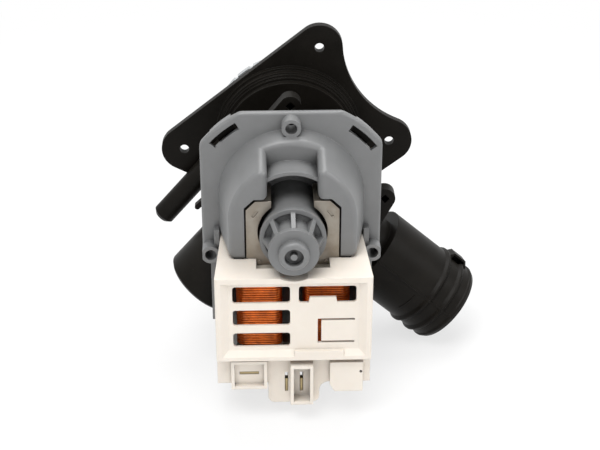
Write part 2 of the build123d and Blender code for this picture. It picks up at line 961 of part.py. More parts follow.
def make_turns(x):
    """Outer layer of one coil: one unbroken wire."""
    stations, pitch = turn_stations(x)
    edges = []
    for number in range(len(stations) - 1):
        (start, way), (end, next_way) = stations[number], stations[number + 1]
        if number % 2:
            edges.append(Line(start, end))
        else:
            edges += biarc(start, way, end, next_way)
    path = Wire(edges)
    section = Plane(origin=path.position_at(0), z_dir=path.tangent_at(0)) * Circle(wire_diameter / 2)
    wire = sweep(section, path=path)
    last = turn_count * samples_per_turn
    samples = [path.position_at(step / last) for step in range(last + 1)]
    gap = min(
        (a - b).length - wire_diameter
        for i, a in enumerate(samples)
        for b in samples[i + ceil(samples_per_turn / 2):]
    )
    print("turns at", x, "pitch", round(pitch, 3), "least gap", round(gap, 3), "wanted", bend_gap_min)
    return wire


# Coil cover and terminal block


def cover_front():
    """Y of the cover's front face."""
    return face_y - cover_front_depth


def cover_plan(inset, start, end):
    """Cover's outline seen from above, narrowing towards the flange."""
    taper = (cover_front_half_width - cover_back_half_width) / cover_front_depth
    def half(y):
        return cover_front_half_width - inset - taper * (y - cover_front())
    points = [(-half(start), start), (half(start), start), (half(end), end), (-half(end), end)]
    return make_face(Polyline(*points, close=True))


def vent_faces():
    """Openings in the cover's front panel, drawn in X and Z."""
    faces = []
    for bottom, height in zip(vent_bottoms, vent_heights):
        faces.append(panel((vent_left, vent_right), (bottom, bottom + height)))
    top = panel((side_vent_left, side_vent_right), (vent_bottoms[0], vent_bottoms[0] + vent_heights[0]))
    faces = [fillet(face.vertices(), vent_round) for face in faces + [top]]
    return faces


def tongue_face():
    """Tongue that stands in the right hand vent."""
    bottom = vent_bottoms[0] - overrun
    top = vent_bottoms[0] + tab_height
    return make_face(
        Polyline(
            (tab_left - tab_slope, bottom),
            (tab_left + tab_slope, top),
            (tab_right - tab_slope, top),
            (tab_right + tab_slope, bottom),
            close=True,
        )
    )


def snap_face():
    """Narrow U shaped gap that frees the cover's snap arm."""
    outer = panel((snap_left, snap_right), (snap_bottom, snap_top))
    inner = panel(
        (snap_left + snap_side_gap, snap_right + overrun),
        (snap_bottom + snap_arm_gap, snap_top - snap_arm_gap),
    )
    return outer - inner


def cover_recess():
    """Hollow in the cover's front with sloped walls, filled at the bottom by a pad."""
    floor = cover_front() + cover_recess_depth
    reach = cover_recess_depth + overrun
    share = reach / cover_recess_depth
    drop = cover_recess_slope * share
    side = cover_recess_half_width + cover_recess_side_slope * share
    top = cover_recess_top + cover_recess_top_slope * share
    inner = panel((-cover_recess_half_width, cover_recess_half_width), (cover_recess_bottom, cover_recess_top))
    outer = panel((-side, side), (cover_recess_bottom - drop, top))
    hollow = loft([cross_plane(floor) * inner, cross_plane(floor - reach) * outer])
    return hollow - block(
        (pad_left, pad_right),
        (floor - reach - overrun, floor + overrun),
        (cover_recess_bottom - drop - overrun, cover_recess_bottom),
    )


def make_coil_cover():
    """White cover over the coils, with its recessed and vented front."""
    front, back = cover_front(), face_y
    height = cover_top - cover_bottom
    body = extrude(Pos(0, 0, cover_bottom) * cover_plan(0, front, back), amount=height)
    body = fillet(body.edges().filter_by(Axis.Z).group_by(Axis.Y)[0], cover_edge_round)
    inner_front = front + cover_recess_depth + cover_panel
    hollow = cover_plan(cover_wall, inner_front, back + overrun)
    body -= extrude(Pos(0, 0, cover_bottom - overrun) * hollow, amount=height - cover_wall + overrun)
    body -= cover_recess()
    for face in vent_faces():
        body -= slab(face, front - overrun, inner_front + overrun)
    body += slab(tongue_face(), front + cover_recess_depth, inner_front)
    body -= slab(snap_face(), front - overrun, inner_front + overrun)
    body -= block(
        (-cover_opening_half_width, cover_opening_half_width),
        (face_y - cover_lip_depth, back + overrun),
        (cover_top - cover_wall - overrun, cover_top + overrun),
    )
    body -= block(
        (-cover_notch_half_width, cover_notch_half_width),
        (face_y - cover_notch_depth, back),
        (cover_top - cover_wall - overrun, cover_top + overrun),
    )
    scoop = rod(cover_scoop_radius, front - overrun, back)
    keep = block(
        (-cover_front_half_width, cover_front_half_width),
        (front - overrun, back),
        (cover_top - cover_wall, cover_top + overrun),
    )
    return body - (scoop & keep)


def tab_places():
    """X of the two upright terminals."""
    return [tab_first, tab_first + tab_pitch]


def block_backs():
    """Y behind the block's upper part and behind its lower part, clear of spools and core."""
    upper = core_middle_y - coil_half_y - bobbin_flange_proud - play_gap
    lower = face_y - core_front_depth - core_rivet_stand - play_gap
    return upper, lower


def centre_face():
    """Lower middle of the block: rounded corners and a hollow curve up to the shelf."""
    low, high = centre_bottom, wing_bottom
    inner, outer = centre_half_width, centre_half_width + arch_radius
    face = panel((-inner, inner), (low, high))
    face = fillet(face.vertices().group_by(Axis.Y)[0], centre_round)
    corner = panel((inner, outer), (high - arch_radius, high))
    return face + (corner - Pos(outer, high - arch_radius) * Circle(arch_radius))


def guard_face():
    """Right hand guard with its slanted lower left corner."""
    return make_face(
        Polyline(
            (guard_left, guard_top),
            (guard_right, guard_top),
            (guard_right, guard_bottom),
            (guard_left + guard_slope, guard_bottom),
            (guard_left, wing_bottom),
            close=True,
        )
    )


def earth_middle():
    """X of the middle of the earth terminal's socket."""
    return (socket_left + socket_right) / 2


def make_terminal_block():
    """White block under the cover that holds the terminals."""
    front = face_y - block_front_depth
    upper_back, back = block_backs()
    step = bobbin_bottom - play_gap
    whole = (-block_half_width, block_half_width)
    body = block(whole, (front, upper_back), (step, block_top))
    body += block(whole, (front, back), (wing_bottom, step))
    for side in (-1, 1):
        low, high = sorted((side * wing_inner, side * block_half_width))
        body += block((low, high), (upper_back, face_y - wing_back_depth), (wing_bottom, block_top))
    frames = (
        (socket_left, socket_right, socket_bottom, socket_top, face_y - socket_front_depth),
        (box_left, box_right, box_bottom, box_top, face_y - box_front_depth),
    )
    body += slab(centre_face(), front, back)
    body += slab(guard_face(), face_y - guard_front_depth, back)
    for left, right, bottom, top, lip in frames:
        body += block((left, right), (lip, upper_back), (bottom, top))
        body += block((left, right), (lip, back), (bottom, min(top, step)))
    for left, right, bottom, top, lip in frames:
        body -= block(
            (left + socket_wall, right - socket_wall),
            (lip - overrun, front),
            (bottom + socket_wall, top - socket_wall),
        )
    for x in tab_places():
        body -= block(
            (x - tab_slot_width / 2, x + tab_slot_width / 2),
            (front - overrun, back + overrun),
            (tab_slot_bottom, tab_slot_bottom + tab_slot_height),
        )
    body -= block(
        (earth_middle() - earth_slot_width / 2, earth_middle() + earth_slot_width / 2),
        (front - overrun, back + overrun),
        (earth_tab_height - tab_slot_width / 2, earth_tab_height + tab_slot_width / 2),
    )
    lip = face_y - guard_front_depth
    return body - rod(guard_hole_radius, lip - overrun, lip + guard_hole_depth, *guard_hole)


def make_line_terminals():
    """Two upright blade terminals, each a tip on a lower stem."""
    tip = face_y - tab_tip_depth
    blades = []
    for x in tab_places():
        sides = (x - tab_thickness / 2, x + tab_thickness / 2)
        blade = block(sides, (tip, tip + tab_tip_length), (tab_slot_bottom, tab_slot_bottom + tab_width))
        stem = block(sides, (tip, tip + tab_length), (tab_slot_bottom, tab_slot_bottom + tab_stem_height))
        blades.append(blade + stem)
    return blades


def make_earth_terminal():
    """Flat blade terminal in the left socket."""
    middle = earth_middle()
    tip = face_y - tab_tip_depth
    low = earth_tab_height - tab_slot_width / 2
    return block(
        (middle - earth_tab_width / 2, middle + earth_tab_width / 2),
        (tip, tip + earth_tab_length),
        (low, low + tab_thickness),
    )


# Pump housing


def ear_plate():
    """Plate with three ears, hollowed on the right between two of them."""
    body = belt(top_ear, ear_radius, left_ear, ear_radius)
    body += belt(left_ear, ear_radius, lower_lobe, lower_lobe_radius)
    body += belt(lower_lobe, lower_lobe_radius, right_ear, ear_radius)
    body += make_face(Polyline(top_ear, left_ear, lower_lobe, right_ear, close=True))
    run = (right_ear[0] - top_ear[0], right_ear[1] - top_ear[1])
    span = hypot(*run)
    rise = ((plate_waist_radius + ear_radius) ** 2 - (span / 2) ** 2) ** 0.5
    waist = (
        (top_ear[0] + right_ear[0]) / 2 - rise * run[1] / span,
        (top_ear[1] + right_ear[1]) / 2 + rise * run[0] / span,
    )
    body += make_face(Polyline(top_ear, right_ear, waist, close=True))
    body -= Pos(*waist) * Circle(plate_waist_radius)
    body += Pos(0, chamber_height) * Circle(ring_radii[-1])
    for ear in (top_ear, right_ear):
        body += Pos(*ear) * Circle(ear_radius)
    for ear in (top_ear, left_ear, right_ear):
        body -= Pos(*ear) * Circle(ear_hole_radius)
    return body


def rim_face():
    """Front rim of the volute, with the lobes that the motor's hooks hold."""
    face = Circle(rim_radius)
    for middle in slot_angles:
        face += sector(volute_bore, slot_outer_radius - fit_gap, middle, rim_lobe_half_angle - lobe_play_angle)
    return face


def chamber_shell():
    """Outside of the filter chamber with its widening rings."""
    body = rod(chamber_radius, face_y + chamber_face, plate_y, z=chamber_height)
    for start, radius in zip(ring_starts, ring_radii):
        body += rod(radius, face_y + start, plate_y, z=chamber_height)
    return body


def inlet_outline():
    """Outside of the inlet port: (distance, radius) points with its beads and rim."""
    points = [(-inlet_back, 0), (-inlet_back, inlet_radius)]
    top = inlet_radius + bead_rise
    for start in bead_starts:
        points += [
            (start, inlet_radius),
            (start + bead_slope, top),
            (start + bead_width - bead_slope, top),
            (start + bead_width, inlet_radius),
        ]
    rim = inlet_radius + inlet_rim_rise
    points += [
        (inlet_length - inlet_rim_width, inlet_radius),
        (inlet_length - inlet_rim_width + inlet_rim_rise, rim),
        (inlet_length - inlet_rim_round, rim),
        (inlet_length - inlet_rim_round / 3, rim - inlet_rim_round / 3),
        (inlet_length, rim - inlet_rim_round),
        (inlet_length, 0),
    ]
    return points


def eyelet(plane):
    """Raised loop near the inlet's mouth, with its pocket, as (added, cut)."""
    place = plane * Rot(0, 0, eyelet_turn)
    top = inlet_radius + eyelet_rise
    bottom = inlet_radius - inlet_wall / 2
    middle = eyelet_start + eyelet_length / 2
    outline = Polyline(
        (0, bottom, eyelet_start),
        (0, bottom, eyelet_start + eyelet_length),
        (0, inlet_radius, eyelet_start + eyelet_length),
        (0, top, middle + eyelet_length / 2 - eyelet_end_wall),
        (0, top, middle - eyelet_length / 2 + eyelet_end_wall),
        (0, inlet_radius, eyelet_start),
        close=True,
    )
    pad = place * extrude(make_face(outline), amount=eyelet_width / 2, both=True)
    low, high = inlet_radius - eyelet_sink, top - eyelet_wall
    pocket = Box(eyelet_width, high - low, eyelet_length - 2 * eyelet_end_wall)
    return pad, place * Pos(-eyelet_wall, (high + low) / 2, middle) * pocket


def round_port(plane, radius, back, length, edge):
    """Plain round port with a rounded mouth edge."""
    return turned(
        [(-back, 0), (-back, radius), (length - edge, radius), (length, radius - edge), (length, 0)],
        plane,
    )


def lug(place, feet, radius, foot_radius, start, length):
    """Lug on webs that run to the volute."""
    body = None
    for foot in feet:
        web = slab(belt(place, radius, foot, foot_radius), start, start + length)
        body = web if body is None else body + web
    return body


def lug_hole(place):
    """Blind square hole in a lug's front, standing on its corner."""
    hole = Pos(*place) * Rot(0, 0, 45) * Rectangle(lug_hole_side, lug_hole_side)
    start = face_y + lug_front
    return slab(hole, start - overrun, start + lug_hole_depth)


def make_pump_housing():
    """Black moulding: volute, sump, filter chamber, ear plate, ports, nipple and lugs."""
    volute_end = face_y + volute_back
    chamber_front = face_y + chamber_face
    collar_end = plate_y + plate_thickness + collar_length
    body = slab(rim_face(), flange_back, flange_back + rim_thickness)
    body += rod(volute_radius, flange_back, volute_end + partition_thickness)
    body += rod(sump_radius, volute_end, chamber_front + chamber_face_wall)
    body += chamber_shell()
    body += slab(ear_plate(), plate_y, plate_y + plate_thickness)
    body += rod(collar_radius, plate_y, collar_end, z=chamber_height)
    inlet = port_plane(inlet_point, face_y + inlet_y, inlet_fall, 1)
    outlet = port_plane(outlet_point, face_y + outlet_y, outlet_fall, -1)
    throat = port_plane(outlet_point, face_y + outlet_throat_y, outlet_fall, -1)
    throat_bore = port_plane(outlet_point, face_y + outlet_throat_bore_y, outlet_fall, -1)
    nipple = port_plane(nipple_point, face_y + nipple_y, nipple_fall, -1)
    pad, pocket = eyelet(inlet)
    body += round_port(inlet, inlet_throat_radius, inlet_throat_back, 0, overrun)
    body += turned(inlet_outline(), inlet)
    body += pad
    body += round_port(throat, outlet_throat_radius, outlet_throat_back, 0, overrun)
    body += round_port(outlet, outlet_radius, outlet_back, outlet_length, outlet_round)
    body += round_port(nipple, nipple_radius, nipple_back, nipple_length, nipple_round)
    lug_start = face_y + lug_front
    body += lug(top_lug, (top_lug_foot, top_lug_root), lug_radius, lug_leg_radius, lug_start, lug_length)
    body += lug(right_lug, (right_lug_foot, right_lug_heel), lug_radius, lug_leg_radius, lug_start, lug_length)
    body += lug(left_tab, (left_tab_foot,), left_tab_radius, left_tab_radius, lug_start, left_tab_length)
    body -= rod(volute_bore, flange_back - overrun, volute_end)
    body -= rod(eye_radius, volute_end - overrun, volute_end + partition_thickness + overrun)
    body -= rod(sump_radius - sump_wall, volute_end + partition_thickness, chamber_front + chamber_face_wall)
    body -= rod(chamber_bore, chamber_front + chamber_face_wall, collar_end + overrun, z=chamber_height)
    body -= round_port(inlet, inlet_throat_bore, inlet_throat_back, 0, overrun)
    body -= round_port(inlet, inlet_radius - inlet_wall, -overrun, inlet_length + overrun, fit_gap)
    body -= round_port(throat_bore, outlet_throat_bore, outlet_throat_back, 0, overrun)
    mouth_back = outlet_back - outlet_wall
    body -= round_port(outlet, outlet_radius - outlet_wall, mouth_back, outlet_length + overrun, fit_gap)
    body -= round_port(nipple, nipple_bore, nipple_back, nipple_length + overrun, fit_gap)
    body -= pocket
    for place in (top_lug, right_lug):
        body -= lug_hole(place)
    return body


# Filter


def make_filter_cap():
    """Cap that screws into the chamber's collar, with a bar to grip."""
    rim_end = cap_y + cap_rim_thickness
    spigot = chamber_bore - play_gap
    rim = rod(cap_radius, cap_y, rim_end, z=chamber_height)
    rim = fillet(rim.edges().group_by(Axis.Y)[-1], cap_rim_round)
    body = rim + rod(spigot, cap_y - cap_spigot_length, cap_y, z=chamber_height)
    body -= rod(
        spigot - cap_spigot_wall, cap_y - cap_spigot_length - overrun, cap_y, z=chamber_height
    )
    body += rod(cap_hub_radius, cap_y - cap_spigot_length, cap_y, z=chamber_height)
    body -= ring(cap_dish_radius, cap_grip_width, rim_end - cap_dish_depth, rim_end + overrun, z=chamber_height)
    grip = Pos(0, chamber_height) * RectangleRounded(cap_grip_length, cap_grip_width, cap_grip_round)
    body += slab(grip, rim_end - cap_dish_depth, rim_end + cap_grip_height)
    for turn in spokes(cap_notch_count):
        place = (
            cap_radius * cos(radians(turn)),
            chamber_height + cap_radius * sin(radians(turn)),
        )
        body -= rod(cap_notch_radius, cap_y - overrun, rim_end + overrun, *place)
    groove = cap_seal_y()
    body -= ring(
        chamber_bore + overrun,
        spigot - cap_seal_ring_radius,
        groove - cap_seal_ring_radius - fit_gap,
        groove + cap_seal_ring_radius + fit_gap,
        z=chamber_height,
    )
    pin_bore = strainer_pin_radius + running_gap
    return body - rod(
        pin_bore, cap_y - cap_spigot_length - overrun, cap_y - play_gap, z=chamber_height
    )


def cap_seal_y():
    """Y of the cap's seal ring."""
    return cap_y - cap_spigot_length / 2


def make_cap_seal():
    """Seal ring on the cap's spigot."""
    tube = (cap_seal_ring_radius + play_gap) / 2 - fit_gap
    centre = chamber_bore - play_gap - cap_seal_ring_radius + fit_gap / 2 + tube
    return torus_ring(centre, tube, cap_seal_y(), chamber_height)


def make_filter_strainer():
    """Cage that catches lint, carried on the cap by its pin."""
    back = cap_y - cap_spigot_length - play_gap
    front = back - strainer_length
    plate_start = back - strainer_ring_thickness
    bar_circle = strainer_radius - strainer_ring_width / 2
    body = rod(strainer_radius, plate_start, back, z=chamber_height)
    body += ring(
        strainer_radius,
        strainer_radius - strainer_ring_width,
        front,
        front + strainer_ring_thickness,
        z=chamber_height,
    )
    for turn in spokes(strainer_bar_count):
        place = (
            bar_circle * cos(radians(turn)),
            chamber_height + bar_circle * sin(radians(turn)),
        )
        body += rod(strainer_bar_radius, front, back, *place)
    tip = plate_start - strainer_finger_length
    finger_circle = strainer_finger_radius - strainer_bar_radius
    for turn in spokes(strainer_finger_bars):
        place = (
            finger_circle * cos(radians(turn)),
            chamber_height + finger_circle * sin(radians(turn)),
        )
        body += rod(strainer_bar_radius, tip, plate_start, *place)
    body += ring(
        strainer_finger_radius + fit_gap,
        strainer_finger_radius - 2 * strainer_bar_radius - fit_gap,
        tip,
        tip + strainer_ring_thickness,
        z=chamber_height,
    )
    return body + rod(
        strainer_pin_radius, back, cap_y - 2 * play_gap, z=chamber_height
    )


def pieces():
    """Every node of the assembly: its name and its solids."""
    sides = (("left", -coil_x), ("right", coil_x))
    made = {
        "pump_housing": [make_pump_housing()],
        "motor_housing": [make_motor_housing()],
        "flange_seal": [make_flange_seal()],
        "bearing_carrier": [make_bearing_carrier()],
        "carrier_seal": [make_carrier_seal()],
        "front_bush": [make_bush(front_bush_start())],
        "rear_bush": [make_bush(rear_bush_start())],
        "rear_bush_grommet": [make_bush_grommet()],
        "rotor_shaft": [make_rotor_shaft()],
        "rotor_core": [make_rotor_core()],
        "rotor_magnet": [make_rotor_magnet()],
        "thrust_washers": make_thrust_washers(),
        "drive_dog": [make_drive_dog()],
        "impeller": [make_impeller()],
        "impeller_hub_cap": [make_hub_cap()],
        "drive_damper": make_drive_damper(),
        "stator_core": [make_stator_core()],
        "coil_cover": [make_coil_cover()],
        "terminal_block": [make_terminal_block()],
        "line_terminals": make_line_terminals(),
        "earth_terminal": [make_earth_terminal()],
        "filter_cap": [make_filter_cap()],
        "cap_seal": [make_cap_seal()],
        "filter_strainer": [make_filter_strainer()],
    }
    for side, x in sides:
        made[side + "_bobbin"] = [make_bobbin(x)]
        made[side + "_winding"] = [make_winding(x)]
        made[side + "_winding_turns"] = [make_turns(x)]
    return made


def write_parts():
    """Write one STEP file for each node."""
    os.makedirs("parts", exist_ok=True)
    for name, solids in pieces().items():
        shape = solids[0] if len(solids) == 1 else Compound(children=list(solids))
        shape.label = name
        export_step(shape, "parts/" + name + ".step")


write_parts()
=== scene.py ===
"""Looks of a washer drain pump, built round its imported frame. Lengths are in metres."""

import json
import logging
import math
import random
from collections.abc import Mapping, Sequence
from dataclasses import dataclass
from enum import Enum
from typing import Any, Union

import bpy
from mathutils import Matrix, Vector
from mathutils.bvhtree import BVHTree


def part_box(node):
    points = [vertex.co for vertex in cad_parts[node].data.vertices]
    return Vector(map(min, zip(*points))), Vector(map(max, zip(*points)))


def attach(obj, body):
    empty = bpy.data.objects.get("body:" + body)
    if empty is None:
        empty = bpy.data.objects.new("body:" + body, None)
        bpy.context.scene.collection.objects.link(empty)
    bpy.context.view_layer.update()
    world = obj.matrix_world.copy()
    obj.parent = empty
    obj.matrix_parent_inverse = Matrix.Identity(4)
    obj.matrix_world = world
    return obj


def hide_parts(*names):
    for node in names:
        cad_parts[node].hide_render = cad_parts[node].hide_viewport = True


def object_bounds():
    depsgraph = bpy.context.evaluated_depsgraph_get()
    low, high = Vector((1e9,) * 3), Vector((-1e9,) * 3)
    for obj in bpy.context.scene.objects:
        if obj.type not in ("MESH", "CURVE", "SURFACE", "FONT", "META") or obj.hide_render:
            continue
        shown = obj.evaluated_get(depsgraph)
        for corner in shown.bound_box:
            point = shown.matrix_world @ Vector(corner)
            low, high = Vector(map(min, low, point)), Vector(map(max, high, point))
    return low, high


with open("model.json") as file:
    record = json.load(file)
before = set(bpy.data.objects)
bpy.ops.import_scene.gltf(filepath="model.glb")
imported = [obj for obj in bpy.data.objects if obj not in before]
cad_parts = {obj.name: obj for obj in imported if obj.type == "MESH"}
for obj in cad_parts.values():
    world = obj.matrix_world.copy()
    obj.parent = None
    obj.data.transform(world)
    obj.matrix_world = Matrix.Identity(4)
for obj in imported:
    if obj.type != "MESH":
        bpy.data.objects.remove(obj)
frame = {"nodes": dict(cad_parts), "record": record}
cad_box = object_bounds()

Colour = tuple[float, float, float]
Place = tuple[float, float, float]
Stretch = tuple[float, float, float]
# The values at which a mask is 0 and at which it is 1.
Span = tuple[float, float]
Value = Union["Wire", float, Sequence[float]]

MM = 0.001
FULL_TURN = 2 * math.pi
QUARTER_TURN = math.pi / 2
CORNERS = 4
FRONT = Vector((0, -1, 0))
UP = Vector((0, 0, 1))
WHITE: Colour = (1.0, 1.0, 1.0)
RAY_SAMPLES = 6
log = logging.getLogger("drain_pump")


class Body(Enum):
    """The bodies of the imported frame, which a new piece can ride on."""

    ROOT = "root"
    ROTOR = "rotor"
    IMPELLER = "impeller"
    FILTER_INSERT = "filter_insert"
    FILTER_CAP = "filter_cap"


class Grain(Enum):
    """How a mould's surface was worked."""

    SATIN = "satin"
    SPARKED = "sparked"
    POLISHED = "polished"


class Brushing(Enum):
    """Scale along each axis at which a metal's fine lines are read: a small one draws them long."""

    ALONG_Z = (1.0, 1.0, 0.06)
    EVEN = (1.0, 1.0, 1.0)


class Wire:
    """A node's output that takes part in Python arithmetic by adding nodes to its tree."""

    def __init__(self, shade: "Shade", socket: bpy.types.NodeSocket) -> None:
        """Hold one output socket of a tree."""
        self.shade = shade
        self.socket = socket

    def _join(self, operation: str, first: Value, second: Value) -> "Wire":
        """Combine two values, with Math for numbers and Vector Math for vectors and colours.

        Args:
            operation: the nodes' operation, such as ADD.
            first: left operand.
            second: right operand.

        Returns:
            The result's wire.
        """
        operands = (first, second)
        if all(is_number(value) for value in operands):
            numbers = dict(enumerate(operands))
            return self.shade.node("ShaderNodeMath", {"operation": operation}, numbers)
        spread = {
            place: (value,) * 3 if isinstance(value, (int, float)) else value
            for place, value in enumerate(operands)
        }
        return self.shade.node("ShaderNodeVectorMath", {"operation": operation}, spread)

    def __add__(self, other: Value) -> "Wire":
        """Sum."""
        return self._join("ADD", self, other)

    def __radd__(self, other: Value) -> "Wire":
        """Sum with the wire on the right."""
        return self._join("ADD", other, self)

    def __sub__(self, other: Value) -> "Wire":
        """Difference."""
        return self._join("SUBTRACT", self, other)

    def __rsub__(self, other: Value) -> "Wire":
        """Difference with the wire on the right, so that 1 - mask works."""
        return self._join("SUBTRACT", other, self)

    def __mul__(self, other: Value) -> "Wire":
        """Product."""
        return self._join("MULTIPLY", self, other)

    def __rmul__(self, other: Value) -> "Wire":
        """Product with the wire on the right."""
        return self._join("MULTIPLY", other, self)

    def fade(self, low: float, high: float) -> "Wire":
        """Smooth step of a number.

        Args:
            low: value that gives 0.
            high: value that gives 1.

        Returns:
            A wire between 0 and 1.
        """
        return self.shade.node(
            "ShaderNodeMapRange",
            {"interpolation_type": "SMOOTHSTEP"},
            {0: self, 1: low, 2: high, 3: 0.0, 4: 1.0},
        )


def is_number(value: Value) -> bool:
    """Whether a value is one number, typed or wired."""
    return value.socket.type == "VALUE" if isinstance(value, Wire) else isinstance(value, (int, float))


class Shade:
    """A node tree that is built up call by call."""

    def __init__(self, tree: bpy.types.NodeTree) -> None:
        """Empty the tree and hold it."""
        self.tree = tree
        tree.nodes.clear()

    def node(
        self,
        kind: str,
        settings: Mapping[str, Any] | None = None,
        inputs: Mapping[str | int, Value] | None = None,
        output: str | int = 0,
    ) -> Wire:
        """Add one node.

        Args:
            kind: the node's type.
            settings: properties that are set before the sockets are used.
            inputs: sockets' values or wires, by name or place.
            output: the output socket to go on from.

        Returns:
            The wire of that output.
        """
        made = self.tree.nodes.new(kind)
        for name, value in (settings or {}).items():
            setattr(made, name, value)
        for key, value in (inputs or {}).items():
            if isinstance(value, Wire):
                self.tree.links.new(value.socket, made.inputs[key])
            else:
                made.inputs[key].default_value = value
        return Wire(self, made.outputs[output])

    def end(self, kind: str, inputs: Mapping[str | int, Wire]) -> None:
        """Add the tree's output node, which has no output of its own.

        Args:
            kind: the node's type.
            inputs: sockets' wires, by name or place.
        """
        made = self.tree.nodes.new(kind)
        for key, value in inputs.items():
            self.tree.links.new(value.socket, made.inputs[key])

    def place(self) -> Wire:
        """Position on the piece, in metres, that moves with it."""
        return self.node("ShaderNodeTexCoord", output="Object")

    def noise(self, place: Wire, size: float, detail: float = 2.0, roughness: float = 0.5) -> Wire:
        """Soft noise between 0 and 1.

        Args:
            place: where to read it.
            size: width of its patches.
            detail: number of finer layers.
            roughness: strength of the finer layers.

        Returns:
            The noise's wire.
        """
        inputs = {"Vector": place, "Scale": 1 / size, "Detail": detail, "Roughness": roughness}
        return self.node("ShaderNodeTexNoise", inputs=inputs)

    def cells(self, place: Wire, size: float) -> Wire:
        """Distance to the nearest of many scattered points, in cells of a given size."""
        return self.node("ShaderNodeTexVoronoi", inputs={"Vector": place, "Scale": 1 / size})

    def blend(self, factor: Value, first: Value, second: Value) -> Wire:
        """Mix two colours.

        Args:
            factor: share of the second.
            first: colour at 0.
            second: colour at 1.

        Returns:
            The mixed colour.
        """
        inputs = {0: factor, 6: rgba(first), 7: rgba(second)}
        return self.node("ShaderNodeMix", {"data_type": "RGBA"}, inputs, output=2)

    def rounded(self, radius: float) -> Wire:
        """Surface normal with the sharp edges rounded to a radius."""
        return self.node("ShaderNodeBevel", {"samples": RAY_SAMPLES}, {"Radius": radius})

    def edges(self, rounded: Wire, full: float = 0.25) -> Wire:
        """Mask of the rounded edges, from 0 on a flat face to 1 on an edge.

        Args:
            rounded: the rounded normal.
            full: 1 less the cosine of the turn at which the mask is full.

        Returns:
            The mask's wire.
        """
        flat = self.node("ShaderNodeNewGeometry", output="True Normal")
        operands = {0: rounded, 1: flat}
        alike = self.node("ShaderNodeVectorMath", {"operation": "DOT_PRODUCT"}, operands, output=1)
        return (1 - alike).fade(0.0, full)

    def openness(self, reach: float) -> Wire:
        """Share of the surroundings that a point sees past everything nearer than a reach."""
        settings = {"samples": RAY_SAMPLES}
        return self.node("ShaderNodeAmbientOcclusion", settings, {"Distance": reach}, output="AO")

    def bump(self, height: Wire, depth: float, normal: Wire) -> Wire:
        """Normal of a relief.

        Args:
            height: the relief, from 0 to 1.
            depth: its real height.
            normal: the normal under it.

        Returns:
            The bumped normal.
        """
        inputs = {"Strength": 1.0, "Distance": depth, "Height": height, "Normal": normal}
        return self.node("ShaderNodeBump", inputs=inputs)


def rgba(value: Value) -> Value:
    """A typed colour with its alpha, and a wire as it is."""
    return value if isinstance(value, Wire) else (*value, 1.0)


def new_material(name: str) -> tuple[bpy.types.Material, Shade]:
    """Material with an empty tree.

    Args:
        name: its name.

    Returns:
        The material and its tree, to be built up.
    """
    material = bpy.data.materials.new(name)
    material.use_nodes = True
    return material, Shade(material.node_tree)


def new_object(name: str, data: bpy.types.ID) -> bpy.types.Object:
    """Object in the scene.

    Args:
        name: its name.
        data: the mesh, light or camera that it holds.

    Returns:
        The object.
    """
    made = bpy.data.objects.new(name, data)
    bpy.context.scene.collection.objects.link(made)
    return made


def aim(thing: bpy.types.Object, heading: Vector) -> None:
    """Turn a lamp or the camera so that it looks along a direction."""
    thing.rotation_mode = "QUATERNION"
    thing.rotation_quaternion = heading.to_track_quat("-Z", "Y")


class Palette:
    """The materials, each made once."""

    def __init__(self) -> None:
        """Start with no material."""
        self.made: dict[str, bpy.types.Material] = {}

    def get(self, finish: "Finish") -> bpy.types.Material:
        """The material of a finish.

        Args:
            finish: what the surface is made of.

        Returns:
            Its Blender material.
        """
        if finish.name not in self.made:
            material, shade = new_material(finish.name)
            surface = shade.node("ShaderNodeBsdfPrincipled", inputs=finish.sockets(shade))
            shade.end("ShaderNodeOutputMaterial", {"Surface": surface})
            self.made[finish.name] = material
        return self.made[finish.name]


